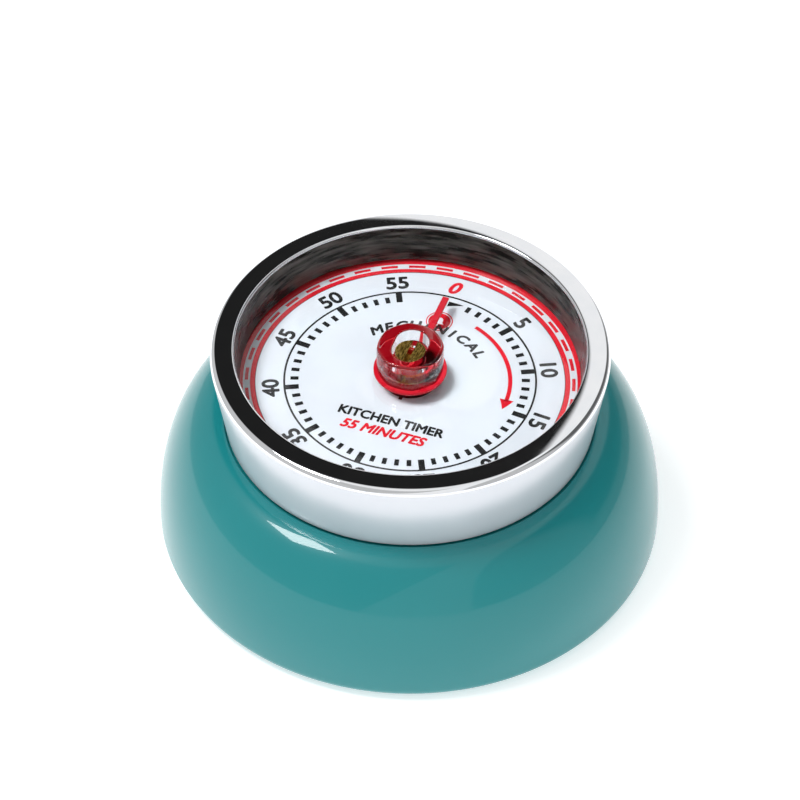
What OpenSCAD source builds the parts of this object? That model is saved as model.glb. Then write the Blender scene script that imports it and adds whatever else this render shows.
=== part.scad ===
// Clockwork kitchen timer with a bell, made to lie on a table or hang by the magnet in its back.
// It lies on its back: +Z is the way the dial looks and +Y points at the dial's zero mark.
// The origin is the middle of the magnet's face.

/* [Case] */
// Widest diameter of the housing
case_d = 70; // [66:0.5:86]
// Sheet thickness of the housing
case_wall = 0.6; // [0.4:0.05:0.8]
// Fullness of the housing's side: 2 is an ellipse, more is squarer
side_fullness = 2.13; // [2:0.01:2.6]
// Rounding of the housing's lower edge
corner_r = 1.6; // [1:0.1:2.2]
// Height of the housing's lower edge above the table
hem_lift = 0.3; // [0.2:0.05:0.8]
// Width of the flat hem turned in at the bottom of the housing
hem_w = 1.2; // [0.8:0.1:1.6]
// Outer diameter of the neck that carries the dial
neck_d = 49.2; // [48.8:0.2:60]
// Height of the neck above the shoulder
neck_h = 4.9; // [4.8:0.1:5.6]

/* [Bezel] */
// Gap between the bezel's lower edge and the neck
bezel_gap = 0.15; // [0.05:0.05:0.3]
// How much the bezel's radius grows from its lower edge to its rim
bezel_flare = 1.85; // [1.4:0.05:3]
// Height of the bezel
bezel_h = 12.1; // [11:0.1:14]
// Sheet thickness of the bezel
bezel_wall = 0.65; // [0.4:0.05:0.7]
// How far the bezel's opening stands inside the edge of the dial
open_step = 0.55; // [0.3:0.05:0.8]
// Depth of the lip turned down inside the opening
lip_h = 1.1; // [0.8:0.1:2]
// Rise of the rim between its edges
rim_crown = 0.2; // [0:0.05:0.3]

/* [Dial and lens] */
// How far the edges of dial, spacer and lens stand inside the neck's outer face
dial_gap = 0.2; // [0.1:0.05:0.4]
// Thickness of the dial
dial_t = 0.5; // [0.3:0.05:0.7]
// Gap between the dial and the bush in its middle
dial_hole_gap = 0.2; // [0.1:0.05:0.6]
// Height of the spacer between dial and lens
spacer_h = 0.4; // [0.3:0.05:1]
// Thickness of the lens
lens_t = 0.7; // [0.7:0.1:1.2]
// Gap between the lens and the arbor in its middle
lens_hole_gap = 1.1; // [0.4:0.1:1.6]
// Wall of the spacer and of the retaining ring
ring_wall = 0.5; // [0.3:0.05:0.6]
// Width of the retaining ring's foot on the lens
ring_foot_w = 1.2; // [0.8:0.1:1.4]

/* [Knob and pointer] */
// Diameter of the knob
knob_d = 9.12; // [8:0.1:14]
// Height of the knob above the pointer
knob_h = 4.25; // [4:0.05:7]
// Rounding of the knob's top edge
knob_edge_r = 0.7; // [0.3:0.1:0.9]
// Gap between the arbor and the sides of the well in the knob's top
well_gap = 0.25; // [0.1:0.05:0.5]
// How much longer than wide the well is
well_run = 0.9; // [0.2:0.1:1.5]
// Depth of the well in the knob's top
well_depth = 2.6; // [2:0.1:3]
// Diameter of the pointer's disc
pointer_disc_d = 10; // [9:0.1:12]
// Thickness of the pointer
pointer_t = 0.4; // [0.3:0.05:0.8]
// Width of the pointer's hand
pointer_w = 0.9; // [0.6:0.1:1.4]
// Length of the pointer from the middle of the dial
pointer_reach = 14.8; // [10:0.1:20]
// Gap between lens and pointer
pointer_gap = 1.05; // [0.2:0.05:1.4]

/* [Movement] */
// Clear height between the plates
plate_gap = 10.2; // [10.2:0.1:13]
// Thickness of both plates
plate_t = 1; // [0.8:0.1:1.1]
// Diameter of the back plate
back_plate_d = 43.2; // [43:0.2:45]
// Diameter of the pillars
pillar_d = 2.5; // [2.2:0.1:2.6]
// Distance of the pillars from the middle
pillar_ring_r = 20.3; // [20.2:0.05:20.4]
// Diameter of the winding arbor where it carries the knob
arbor_d = 4.2; // [3.6:0.1:4.4]
// Diameter of the winding arbor inside the movement
arbor_core_d = 3.6; // [3:0.1:3.8]
// Width of the slot in the arbor's split end
arbor_slot = 0.65; // [0.4:0.05:1]
// Diameter of the train's pivots
pivot_d = 0.8; // [0.6:0.05:0.9]
// Radial play of the bearings
bearing_play = 0.05; // [0.02:0.01:0.09]
// Step between the arbor and its hub, which bears on the front bush
hub_step = 0.5; // [0.3:0.05:0.6]
// Wall of the front bush
bush_wall = 0.55; // [0.3:0.05:1]

/* [Mainspring] */
// Thickness of the mainspring's strip
spring_t = 0.3; // [0.2:0.02:0.4]
// Height of the mainspring's strip
spring_h = 3.6; // [3:0.1:3.8]
// Turns of the mainspring
spring_turns = 7.5; // [5.5:1:7.5]
// Distance from turn to turn
spring_pitch = 0.8; // [0.6:0.02:0.82]

/* [Train] */
// Teeth of the great wheel
great_teeth = 60; // [60:12:60]
// Tooth module of the great wheel
great_module = 0.36; // [0.35:0.005:0.365]
// Teeth of the second wheel
second_teeth = 50; // [46:2:50]
// Tooth module of the second wheel
second_module = 0.28; // [0.26:0.01:0.28]
// Teeth of the third and fourth wheels
third_teeth = 48; // [44:2:48]
// Tooth module of the third wheel
third_module = 0.25; // [0.24:0.01:0.25]
// Tooth module of the fourth wheel
fourth_module = 0.22; // [0.2:0.01:0.22]
// Leaves of the pinions that the great wheel drives
first_leaves = 10; // [10:1:10]
// Leaves of the other pinions
leaves = 8; // [8:1:8]
// Tip radius of the escape wheel
escape_r = 4; // [3.6:0.1:4.1]
// Teeth of the escape wheel
escape_teeth = 15; // [12:1:16]

/* [Bell] */
// Gap between the bell's rim and the housing
bell_gap = 3; // [2:0.1:4]
// Sheet thickness of the bell
bell_t = 0.8; // [0.6:0.05:1]
// Clear height between the bell's screw and the rivet below it
bell_room = 1; // [0.4:0.1:4]
// Radius of the bell's flat floor
bell_floor_r = 18; // [14:0.5:20]
// Length of the post between back plate and bell
bell_post_h = 4.4; // [4.4:0.1:5]
// Diameter of the bell post
bell_post_d = 4.8; // [4.4:0.1:6]
// Radius of the hammer's head
hammer_r = 1.4; // [1:0.1:1.6]
// Gap between hammer and bell at rest
hammer_gap = 0.9; // [0.8:0.1:1.4]

/* [Back] */
// Height of the foot ring under the back cover
foot_h = 0.9; // [0.8:0.1:1.2]
// Thickness of the back cover
cover_t = 1.6; // [1.4:0.1:2]
// Gap round the back cover
cover_gap = 0.2; // [0.1:0.05:0.4]
// Diameter of the magnet
magnet_d = 30; // [20:1:36]
// Thickness of the magnet
magnet_t = 3; // [2.6:0.1:3.2]
// Diameter of the magnet's hole
magnet_hole_d = 6.4; // [6:0.2:9]
// Thickness of the keeper plate
keeper_t = 1; // [0.6:0.1:1.2]
// Wall of the magnet's pocket
pocket_wall = 1.2; // [0.8:0.1:1.5]

/* [Hidden] */
$fn = 96;

// Small values shared by many pieces
hair = 0.02;          // radial clearance of a screw in its thread and of a piece in its seat
screw_play = 0.1;     // radial clearance of a screw in a plain hole
end_shake = 0.1;      // axial play of an arbor between the plates
joining = 0.2;        // how deep one shape runs into another that it is one piece with
hub_short = 0.3;      // gap between the arbor's hub and the front plate
bush_short = 0.1;     // how far the front bush stops short of the dial's face
thread_short = 0.3;   // how far a screw's end stops short of the end of its hole
pillar_step = 0.4;    // step from a pillar or the bell post to its tenon in the plate
post_step = 0.3;      // step from the spring post to its tenon
small_head_h = 0.8;   // height of the small screws' heads
slot_width = 0.28;    // a screw slot's width, as a share of the head's radius
slot_depth = 0.45;    // a screw slot's depth, as a share of the head's height
plate_gap_round = 0.3; // gap between the front plate and the inside of the neck

// Radii
case_r = case_d / 2;
neck_r = neck_d / 2;
foot_r = neck_r + bezel_gap + bezel_wall;
rim_r = foot_r + bezel_flare;
dial_r = neck_r - dial_gap;
open_r = dial_r - open_step;
arbor_r = arbor_d / 2;
core_r = arbor_core_d / 2;
pivot_r = pivot_d / 2;
hub_r = arbor_r + hub_step;
bush_r = arbor_r + bearing_play + bush_wall;
back_plate_r = back_plate_d / 2;
front_plate_r = neck_r - case_wall - plate_gap_round;
pillar_r = pillar_d / 2;

// Levels of the case, from the table up. The case is as high as what it holds
pocket_z = magnet_t + keeper_t;
pocket_floor_t = 0.9;
rivet_head_h = 0.4;
bell_screw_head_h = 1;
bell_z = pocket_z + pocket_floor_t + rivet_head_h + bell_room + bell_screw_head_h;
shoulder_h = bell_z + bell_t + bell_post_h + plate_gap + 2 * plate_t + case_wall - neck_h;
wide_z = hem_lift + corner_r;
neck_top = shoulder_h + neck_h;
dial_top = neck_top + dial_t;
lens_z = dial_top + spacer_h;
lens_top = lens_z + lens_t;
pointer_z = lens_top + pointer_gap;
knob_z = pointer_z + pointer_t;
rim_z = shoulder_h + bezel_h;

// Levels of the movement, which hangs under the neck's flange
front_top = neck_top - case_wall;
front_z = front_top - plate_t;
back_top = front_z - plate_gap;
back_z = back_top - plate_t;
function level(h) = back_top + h;
cam_z = level(0.5);
low_wheel_z = level(0.7);
third_wheel_z = level(2.3);
great_z = level(3.9);
ratchet_z = level(5);
escape_z = level(5.2);
spring_z = level(6.2);
pallet_z = level(6.2);
fourth_wheel_z = level(7.5);
wheel_t = 0.7;
heavy_wheel_t = 1;
ratchet_t = 0.9;
pinion_over = 0.2;    // how far a pinion stands past its wheel on each side
tooth_share = 0.24;   // half a wheel tooth's width, as a share of its pitch
leaf_share = 0.18;    // half a pinion leaf's width, as a share of its pitch
window_ring = 0.58;   // where a wheel's windows lie, as a share of its pitch radius
window_size = 0.25;   // radius of a wheel's windows, as a share of its pitch radius

// Plan of the movement: directions from one arbor to the next
second_dir = 150;
third_dir = 52;
fourth_dir = 21;
escape_dir = -16;
pallet_dir = -36.5;
strike_dir = second_dir + 25 * 360 / great_teeth;
hammer_dir = -25;
pallet_distance = escape_r + 1.5;
hammer_pivot_r = 17.5;

function polar(r, a) = [r * cos(a), r * sin(a)];
function unit(v) = v / norm(v);
function centres(teeth, mate, m) = m * (teeth + mate) / 2;

second_at = polar(centres(great_teeth, first_leaves, great_module), second_dir);
third_at = second_at + polar(centres(second_teeth, leaves, second_module), third_dir);
fourth_at = third_at + polar(centres(third_teeth, leaves, third_module), fourth_dir);
escape_at = fourth_at + polar(centres(third_teeth, leaves, fourth_module), escape_dir);
pallet_at = escape_at + polar(pallet_distance, pallet_dir);
strike_at = polar(centres(great_teeth, first_leaves, great_module), strike_dir);
hammer_at = polar(hammer_pivot_r, hammer_dir);
PIVOTS = [second_at, third_at, fourth_at, escape_at, pallet_at, strike_at, hammer_at];

// Arbor bodies
big_body_r = 0.8;
small_body_r = 0.5;

// Fasteners
pillar_dirs = [for (k = [0:2]) 131 + 120 * k];
movement_screw_dirs = [for (k = [0:2]) 71 + 120 * k];
screw_edge = 1.3;     // distance of the movement screws from the plate's edge
movement_screw_ring = front_plate_r - screw_edge;
cover_screw_dirs = [for (k = [0:2]) 90 + 120 * k];
thread_r = 0.6;
cover_thread_r = 0.8;
cover_screw_head_r = 1.5;
cover_screw_head_h = 0.9;
bell_thread_r = 1.2;
pillar_screw_head_r = 1.2;
movement_screw_head_r = 1.1;
bell_screw_head_r = 2.6;
flange_in_r = pillar_ring_r + pillar_r + hair;

// Back cover and its tabs
opening_r = case_r - corner_r - hem_w;
cover_r = opening_r - cover_gap;
cover_top = foot_h + cover_t;
boss_r = 2;
cover_screw_ring = cover_r - boss_r - 0.1;
boss_h = 0.9;
tab_z = cover_top + boss_h;
tab_t = 1;
tab_w = 6;
tab_past_screw = 1.6;
tab_in = cover_screw_ring - tab_past_screw;
pocket_gap = 0.1;
magnet_r = magnet_d / 2;
rivet_r = 1.45;
rivet_head_r = 2.6;

// Bell and hammer
bell_floor_top = bell_z + bell_t;
bell_rim_z = level(2.5);
bell_r = shell_r(bell_rim_z) - case_wall - bell_gap;
hammer_overlap = 2.2; // how far the hammer's head reaches into the bell
hammer_bottom = bell_rim_z - hammer_overlap;
hammer_lever_z = level(1.9);
lever_t = 0.8;
hammer_head_ring = bell_in_r(hammer_bottom) - hammer_gap - hammer_r;
hammer_sweep = 28;    // angle from the hammer's pivot to its head, seen from the middle
hammer_head_at = polar(hammer_head_ring, hammer_dir + hammer_sweep);
strike_r = 4.2;
cam_r = 4;
finger_r = 0.35;
running_gap = 0.15;

// Click on the great wheel
ratchet_r = 4.4;
click_tip_r = 0.35;
click_tip_at = polar(ratchet_r + click_tip_r + running_gap, 235);
click_at = polar(7.6, 270);
click_pin_r = 0.6;
click_z = great_z + heavy_wheel_t + hair;
click_t = 0.8;

// Radius of the housing's outside at a height, a quarter of a superellipse
function shell_r(z) = foot_r + (case_r - foot_r)
  * pow(1 - pow((z - wide_z) / (shoulder_h - wide_z), side_fullness), 1 / side_fullness);
// Inner radius of the bell at a height, a quarter of an ellipse
function bell_in_r(z) = bell_floor_r + (bell_r - bell_t - bell_floor_r)
  * sqrt(1 - pow((bell_rim_z - z) / (bell_rim_z - bell_floor_top), 2));

// ---------------------------------------------------------------- shapes used more than once

// A line of points on the housing's side, moved inwards by a depth, from its widest point up
function side_line(depth) = [for (t = [0:6:90])
  let (a = case_r - foot_r, b = shoulder_h - wide_z,
       c = pow(cos(t), 2 / side_fullness), s = pow(sin(t), 2 / side_fullness),
       n = unit([pow(c, side_fullness - 1) / a, pow(s, side_fullness - 1) / b]))
  [foot_r + a * c, wide_z + b * s] - depth * n];

// A round arc of points
function arc(centre, r, from, to, steps) =
  [for (k = [0:steps]) centre + polar(r, from + (to - from) * k / steps)];

function reversed(list) = [for (k = [len(list) - 1:-1:0]) list[k]];

module tube(r_out, r_in, z, h) {
  translate([0, 0, z])
    rotate_extrude()
      translate([r_in, 0])
        square([r_out - r_in, h]);
}

module disc_at(at, r, z, h) {
  translate([at[0], at[1], z])
    cylinder(r = r, h = h);
}

// A straight arm with round ends, from one point to another
module arm(from, to, w, z, h) {
  length = norm(to - from);
  translate([from[0], from[1], z])
    rotate(atan2(to[1] - from[1], to[0] - from[0])) {
      translate([0, -w / 2, 0])
        cube([length, w, h]);
      cylinder(d = w, h = h);
      translate([length, 0, 0])
        cylinder(d = w, h = h);
    }
}

// A wire of round section along a path that never runs straight up
module wire(path, r, sides = 8) {
  last = len(path) - 1;
  points = [for (i = [0:last])
    let (t = unit(path[min(i + 1, last)] - path[max(i - 1, 0)]),
         u = unit(cross(t, [0, 0, 1])), v = cross(u, t))
    for (k = [0:sides - 1])
      path[i] + r * (cos(360 * k / sides) * u + sin(360 * k / sides) * v)];
  side_faces = [for (i = [0:last - 1], k = [0:sides - 1], half = [0, 1])
    let (a = i * sides + k, b = i * sides + (k + 1) % sides)
    half == 0 ? [a, a + sides, b + sides] : [a, b + sides, b]];
  caps = [[for (k = [0:sides - 1]) k], [for (k = [sides - 1:-1:0]) last * sides + k]];
  polyhedron(points, concat(side_faces, caps));
}

// Half angle of a wheel tooth at a radius: a radial flank inside the pitch circle, and an
// epicycloid outside it, rolled by a circle of half the mating pinion's pitch radius
function tooth_half(teeth, m, mate, r) =
  let (pitch = teeth * m / 2, roll = mate * m / 4, sum = pitch + roll,
       t = r <= pitch ? 0 : roll / pitch * acos((sum * sum + roll * roll - r * r) / (2 * roll * sum)),
       x = sum * cos(t) - roll * cos(sum / roll * t),
       y = sum * sin(t) - roll * sin(sum / roll * t))
  tooth_share * 360 / teeth - atan2(y, x);

// Outline of a clock wheel with pointed teeth, a tooth centred on the +X axis
function wheel_outline(teeth, m, mate) =
  let (pitch = teeth * m / 2, radii = [pitch - m, pitch, pitch + 0.6 * m, pitch + 1.2 * m])
  [for (k = [0:teeth - 1], step = [0:7])
    let (r = radii[step < 4 ? step : 7 - step], side = step < 4 ? -1 : 1)
    polar(r, 360 * k / teeth + side * tooth_half(teeth, m, mate, r))];

// Outline of a pinion with radial leaves and rounded tips, a leaf centred on the +X axis
function pinion_outline(teeth, m) =
  let (pitch = teeth * m / 2, half = leaf_share * 360 / teeth,
       leaf = [[pitch - 1.5 * m, -1], [pitch, -1], [pitch + 0.4 * m, -0.6], [pitch + 0.55 * m, 0],
               [pitch + 0.4 * m, 0.6], [pitch, 1], [pitch - 1.5 * m, 1]])
  [for (k = [0:teeth - 1], p = leaf) polar(p[0], 360 * k / teeth + half * p[1])];

// A wheel of the train with round windows between its rim and its hub
module train_wheel(at, teeth, m, mate, z, t, bore_r, turn, windows) {
  pitch = teeth * m / 2;
  translate([at[0], at[1], z])
    rotate(turn)
      difference() {
        linear_extrude(t)
          polygon(wheel_outline(teeth, m, mate));
        translate([0, 0, -1])
          cylinder(r = bore_r, h = t + 2);
        for (k = [0:windows - 1])
          rotate(360 * (k + 0.5) / windows)
            translate([pitch * window_ring, 0, -1])
              cylinder(r = pitch * window_size, h = t + 2);
      }
}

// An arbor that runs from plate to plate on two thin pivots
module train_arbor(at, body_r) {
  disc_at(at, body_r, back_top + end_shake, plate_gap - 2 * end_shake);
  disc_at(at, pivot_r, back_z + end_shake, front_top - back_z - 2 * end_shake);
}

// An arbor with a pinion cut on it, which meets a wheel lying in the direction turn + 180
module pinion_arbor(at, teeth, m, body_r, wheel_z, t, turn) {
  train_arbor(at, body_r);
  translate([at[0], at[1], wheel_z - pinion_over])
    rotate(turn + 180 + 180 / teeth)
      linear_extrude(t + 2 * pinion_over)
        polygon(pinion_outline(teeth, m));
}

// A screw with its head's underside at height z, its thread going up
module screw_up(at, z, head_r, head_h, shank_r, length) {
  translate([at[0], at[1], z]) {
    difference() {
      translate([0, 0, -head_h])
        cylinder(r = head_r, h = head_h);
      translate([-head_r - 1, -head_r * slot_width / 2, -head_h - 1])
        cube([2 * head_r + 2, head_r * slot_width, 1 + head_h * slot_depth]);
    }
    cylinder(r = shank_r, h = length);
  }
}

// ---------------------------------------------------------------- case

module housing() {
  outside = concat(
    [[opening_r, hem_lift]],
    arc([case_r - corner_r, wide_z], corner_r, -90, 0, 6),
    side_line(0),
    [[neck_r, shoulder_h], [neck_r, neck_top], [flange_in_r, neck_top]]);
  inside = concat(
    [[opening_r, hem_lift + case_wall]],
    arc([case_r - corner_r, wide_z], corner_r - case_wall, -90, 0, 6),
    side_line(case_wall),
    [[neck_r - case_wall, shoulder_h - case_wall], [neck_r - case_wall, front_top],
     [flange_in_r, front_top]]);
  color("#40a5aa")
    difference() {
      union() {
        rotate_extrude()
          polygon(concat(outside, reversed(inside)));
        for (a = cover_screw_dirs)
          rotate(a)
            translate([tab_in, -tab_w / 2, tab_z])
              cube([case_r - case_wall + joining - tab_in, tab_w, tab_t]);
      }
      for (a = cover_screw_dirs)
        disc_at(polar(cover_screw_ring, a), cover_thread_r + hair, tab_z - 1, tab_t + 2);
      for (a = movement_screw_dirs)
        disc_at(polar(movement_screw_ring, a), thread_r + hair, front_top - 1, case_wall + 2);
    }
}

module bezel() {
  edge_r = 0.6;
  slope = atan2(rim_r - foot_r, bezel_h - edge_r);
  crown = arc([rim_r - edge_r, rim_z - edge_r - rim_crown], edge_r, -slope, 80, 6);
  crown_mid = [(rim_r - edge_r + open_r) / 2, rim_z];
  lip_round = arc([open_r + edge_r, rim_z - edge_r - rim_crown], edge_r, 100, 180, 5);
  color("#d8dadc")
    rotate_extrude()
      polygon(concat(
        [[foot_r - bezel_wall, shoulder_h], [foot_r, shoulder_h]],
        crown, [crown_mid], lip_round,
        [[open_r, rim_z - lip_h], [open_r + bezel_wall, rim_z - lip_h],
         [open_r + bezel_wall, rim_z - edge_r - rim_crown],
         [rim_r - edge_r - bezel_wall * 0.4, rim_z - edge_r - rim_crown]]));
}

module retaining_ring() {
  z1 = rim_z - lip_h;
  low_r = dial_r - ring_foot_w;
  color("#8f9294")
    rotate_extrude()
      polygon([[low_r, lens_top], [dial_r, lens_top], [open_r + ring_wall, z1], [open_r, z1]]);
}

module lens() {
  color("#e8f0f2", 0.35)
    tube(dial_r, arbor_r + lens_hole_gap, lens_z, lens_t);
}

module lens_spacer() {
  color("#b9bcbe")
    tube(dial_r, dial_r - ring_wall, dial_top, spacer_h);
}

module dial() {
  color("#f4f4f2")
    tube(dial_r, bush_r + dial_hole_gap, neck_top, dial_t);
}

// ---------------------------------------------------------------- back

module back_cover() {
  foot_out = 1.5;  // how far the foot ring stands out from midway between pocket and tabs
  foot_mid_r = (magnet_r + pocket_wall + tab_in) / 2 + foot_out;
  foot_w = 2.2;
  sound_hole_r = 1;
  sound_ring = (magnet_r + pocket_wall + foot_mid_r) / 2;
  color("#222426")
    difference() {
      union() {
        disc_at([0, 0], cover_r, foot_h, cover_t);
        disc_at([0, 0], magnet_r + pocket_gap + pocket_wall, foot_h, pocket_z + pocket_floor_t - foot_h);
        tube(foot_mid_r + foot_w / 2, foot_mid_r - foot_w / 2, 0, foot_h + joining);
        for (a = cover_screw_dirs)
          disc_at(polar(cover_screw_ring, a), boss_r, cover_top - joining, boss_h + joining);
      }
      disc_at([0, 0], magnet_r + pocket_gap, -1, pocket_z + 1);
      disc_at([0, 0], rivet_r + hair, pocket_z - 1, pocket_floor_t + 2);
      for (a = cover_screw_dirs) {
        disc_at(polar(cover_screw_ring, a), cover_thread_r + screw_play, 0, tab_z + 1);
        disc_at(polar(cover_screw_ring, a), cover_screw_head_r + screw_play, 0, foot_h + cover_screw_head_h);
      }
      for (k = [0:11])
        disc_at(polar(sound_ring, 30 * k + 15), sound_hole_r, 0, cover_top + 1);
    }
}

module cover_screws() {
  color("#b9bcbe")
    for (a = cover_screw_dirs)
      screw_up(polar(cover_screw_ring, a), foot_h + cover_screw_head_h, cover_screw_head_r,
        cover_screw_head_h, cover_thread_r, tab_z + tab_t - foot_h - cover_screw_head_h);
}

module magnet() {
  color("#3a3c3e")
    tube(magnet_r, magnet_hole_d / 2, 0, magnet_t);
}

module magnet_keeper() {
  color("#b9bcbe")
    tube(magnet_r, rivet_r + hair, magnet_t, keeper_t);
}

module magnet_rivet() {
  color("#b9bcbe") {
    disc_at([0, 0], rivet_head_r, magnet_t - 2 * rivet_head_h, 2 * rivet_head_h);
    disc_at([0, 0], rivet_r, magnet_t, keeper_t + pocket_floor_t);
    disc_at([0, 0], rivet_head_r, pocket_z + pocket_floor_t, rivet_head_h);
  }
}

// ---------------------------------------------------------------- frame of the movement

module pivot_holes(z) {
  for (p = PIVOTS)
    disc_at(p, pivot_r + bearing_play, z - 1, plate_t + 2);
}

module front_plate() {
  color("#c9cbcc")
    difference() {
      disc_at([0, 0], front_plate_r, front_z, plate_t);
      disc_at([0, 0], bush_r, front_z - 1, plate_t + 2);
      pivot_holes(front_z);
      for (a = pillar_dirs)
        disc_at(polar(pillar_ring_r, a), pillar_r - pillar_step, front_z - 1, plate_t + 2);
      for (a = movement_screw_dirs)
        disc_at(polar(movement_screw_ring, a), thread_r + screw_play, front_z - 1, plate_t + 2);
      disc_at(spring_post_at, spring_post_r - post_step, front_z - 1, plate_t + 2);
    }
}

module back_plate() {
  color("#c9cbcc")
    difference() {
      disc_at([0, 0], back_plate_r, back_z, plate_t);
      disc_at([0, 0], bell_post_d / 2 - pillar_step, back_z - 1, plate_t + 2);
      pivot_holes(back_z);
      for (a = pillar_dirs)
        disc_at(polar(pillar_ring_r, a), thread_r + screw_play, back_z - 1, plate_t + 2);
    }
}

pillar_thread_depth = 3;

module pillars() {
  color("#b9bcbe")
    for (a = pillar_dirs)
      difference() {
        union() {
          disc_at(polar(pillar_ring_r, a), pillar_r, back_top, plate_gap);
          disc_at(polar(pillar_ring_r, a), pillar_r - pillar_step, front_z, plate_t);
        }
        disc_at(polar(pillar_ring_r, a), thread_r + hair, back_top - 1, pillar_thread_depth + 1);
      }
}

module pillar_screws() {
  color("#b9bcbe")
    for (a = pillar_dirs)
      screw_up(polar(pillar_ring_r, a), back_z, pillar_screw_head_r, small_head_h, thread_r,
        plate_t + pillar_thread_depth - thread_short);
}

module movement_screws() {
  color("#b9bcbe")
    for (a = movement_screw_dirs)
      screw_up(polar(movement_screw_ring, a), front_z, movement_screw_head_r, small_head_h, thread_r,
        plate_t + case_wall);
}

module front_bush() {
  color("#c8a24a")
    tube(bush_r, arbor_r + bearing_play, front_z, dial_top - front_z - bush_short);
}

// ---------------------------------------------------------------- bell

module bell_post() {
  color("#c8a24a")
    difference() {
      union() {
        disc_at([0, 0], bell_post_d / 2, bell_floor_top, bell_post_h);
        disc_at([0, 0], bell_post_d / 2 - pillar_step, back_z, plate_t);
      }
      disc_at([0, 0], bell_thread_r + hair, bell_floor_top - 1, bell_thread_depth + 1);
      disc_at([0, 0], rear_pivot_r + bearing_play, back_z - rear_pivot_l + plate_t, rear_pivot_l + 1);
    }
}

bell_thread_depth = 3.3;
rear_pivot_r = 1;
rear_pivot_l = 1.6;

module bell() {
  rise = bell_rim_z - bell_z;
  outside = [for (t = [0:6:90])
    [bell_floor_r + (bell_r - bell_floor_r) * sin(t), bell_rim_z - rise * cos(t)]];
  inside = [for (t = [0:6:90])
    [bell_floor_r + (bell_r - bell_t - bell_floor_r) * sin(t),
     bell_rim_z - (rise - bell_t) * cos(t)]];
  hole_r = bell_thread_r + screw_play;
  color("#a8abad")
    rotate_extrude()
      polygon(concat([[hole_r, bell_z]], outside, reversed(inside), [[hole_r, bell_floor_top]]));
}

module bell_screw() {
  color("#b9bcbe")
    screw_up([0, 0], bell_z, bell_screw_head_r, bell_screw_head_h, bell_thread_r,
      bell_t + bell_thread_depth - thread_short);
}

// ---------------------------------------------------------------- mainspring

spring_start_r = hub_r + bearing_play + spring_t / 2;
spring_start_dir = 60;
spring_end_r = spring_start_r + spring_pitch * spring_turns;
spring_end_dir = spring_start_dir + 360 * spring_turns;
spring_post_r = 0.8;
spring_post_at = polar(spring_end_r + spring_t / 2 + spring_post_r + bearing_play, spring_end_dir);

module mainspring() {
  steps = round(spring_turns * 24);
  line = function(offset) [for (k = [0:steps])
    polar(spring_start_r + offset + spring_pitch * spring_turns * k / steps,
      spring_start_dir + 360 * spring_turns * k / steps)];
  color("#5f6a74")
    translate([0, 0, spring_z])
      linear_extrude(spring_h)
        polygon(concat(line(spring_t / 2), reversed(line(-spring_t / 2))));
}

module spring_post() {
  color("#b9bcbe") {
    disc_at(spring_post_at, spring_post_r, spring_z, front_z - spring_z);
    disc_at(spring_post_at, spring_post_r - post_step, front_z, plate_t);
  }
}

// ---------------------------------------------------------------- what turns with the knob

arbor_below_knob = 1.1;   // how far the arbor's split end lies below the knob's top
slot_above_pointer = 0.3; // how far the arbor's slot stops above the pointer
clip_room = 0.1;          // gap between the clip and the great wheel
clip_t = 0.35;
clip_groove = 0.35;       // depth of the clip's groove
clip_width = 1.2;         // how far the clip stands out from the arbor
arbor_top = knob_z + knob_h - arbor_below_knob;
clip_z = great_z - clip_room - clip_t;
clip_groove_r = core_r - clip_groove;

module winding_arbor() {
  shoulder = front_z - hub_short;
  color("#c8a24a")
    difference() {
      union() {
        disc_at([0, 0], rear_pivot_r, back_top - rear_pivot_l + end_shake, rear_pivot_l);
        disc_at([0, 0], core_r, back_top + bearing_play, spring_z - back_top);
        disc_at([0, 0], hub_r, spring_z, shoulder - spring_z);
        disc_at([0, 0], arbor_r, shoulder - joining, arbor_top - shoulder + joining);
      }
      tube(core_r + 1, clip_groove_r, clip_z - hair, clip_t + 2 * hair);
      translate([-arbor_slot / 2, -arbor_r - 1, knob_z + slot_above_pointer])
        cube([arbor_slot, 2 * arbor_r + 2, arbor_top - knob_z]);
    }
}

module ratchet_wheel() {
  teeth = 16;
  tooth_h = 0.8;
  undercut = 0.08;  // how far a tooth's back leans, as a share of the pitch
  color("#8f9294")
    translate([0, 0, ratchet_z])
      difference() {
        linear_extrude(ratchet_t)
          polygon([for (k = [0:teeth - 1], s = [0, 1])
            polar(s == 0 ? ratchet_r : ratchet_r - tooth_h, 360 * (k - s * undercut) / teeth)]);
        translate([0, 0, -1])
          cylinder(r = core_r, h = ratchet_t + 2);
      }
}

module release_cam() {
  notch_r = 0.9;
  color("#8f9294")
    difference() {
      tube(cam_r, core_r, cam_z, lever_t);
      disc_at(polar(cam_r, hammer_dir), notch_r, cam_z - 1, lever_t + 2);
    }
}

module great_wheel_clip() {
  clip_r = core_r + clip_width;
  color("#8f9294")
    difference() {
      tube(clip_r, clip_groove_r, clip_z, clip_t);
      translate([0, -clip_groove_r, clip_z - 1])
        cube([clip_r + 1, 2 * clip_groove_r, clip_t + 2]);
    }
}

module pointer() {
  color("#d8141c")
    difference() {
      union() {
        disc_at([0, 0], pointer_disc_d / 2, pointer_z, pointer_t);
        translate([-pointer_w / 2, 0, pointer_z])
          cube([pointer_w, pointer_reach, pointer_t]);
      }
      disc_at([0, 0], arbor_r + hair, pointer_z - 1, pointer_t + 2);
    }
}

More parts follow.
